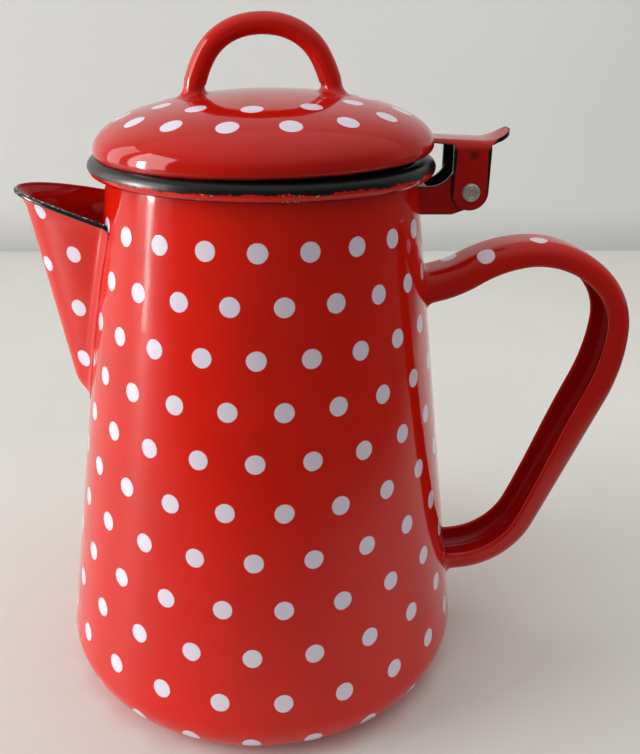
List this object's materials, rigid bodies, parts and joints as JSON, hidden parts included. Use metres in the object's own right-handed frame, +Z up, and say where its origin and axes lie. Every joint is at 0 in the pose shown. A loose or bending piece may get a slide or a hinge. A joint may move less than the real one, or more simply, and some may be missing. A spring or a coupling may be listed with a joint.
{
  "type": "milk kettle",
  "caption": "Tapered enamelled steel pot with a trough spout, a channel handle and a domed lid with a loop knob, hinged above the handle.",
  "frame": {"origin": "centre of the flat base, on the surface the pot stands on", "axes": "+Z up along the pot's axis; the spout points along -X, the handle and the lid's hinge are on +X; the hinge's axis is along +Y"},
  "size_m": [0.1945, 0.1292, 0.2087],
  "materials": {
    "dotted_enamel": "glossy red vitreous enamel with small white dots and near-black edges",
    "plain_enamel": "glossy red vitreous enamel with near-black edges",
    "rivet_steel": "bare steel rivet with a dull, dimpled head"
  },
  "bodies": {
    "pot": {"pot_body": "dotted_enamel", "spout": "dotted_enamel", "handle": "dotted_enamel", "hinge_bracket": "plain_enamel", "hinge_pin": "rivet_steel"},
    "lid_assembly": {"lid": "dotted_enamel", "lid_knob": "plain_enamel", "lid_hinge_strap": "plain_enamel"}
  },
  "joints": [
    {"name": "lid_hinge", "type": "hinge", "parent": "pot", "child": "lid_assembly", "pos_m": [0.0628, 0, 0.1569], "axis": [0, 1, 0], "range_deg": [0, 100]}
  ]
}
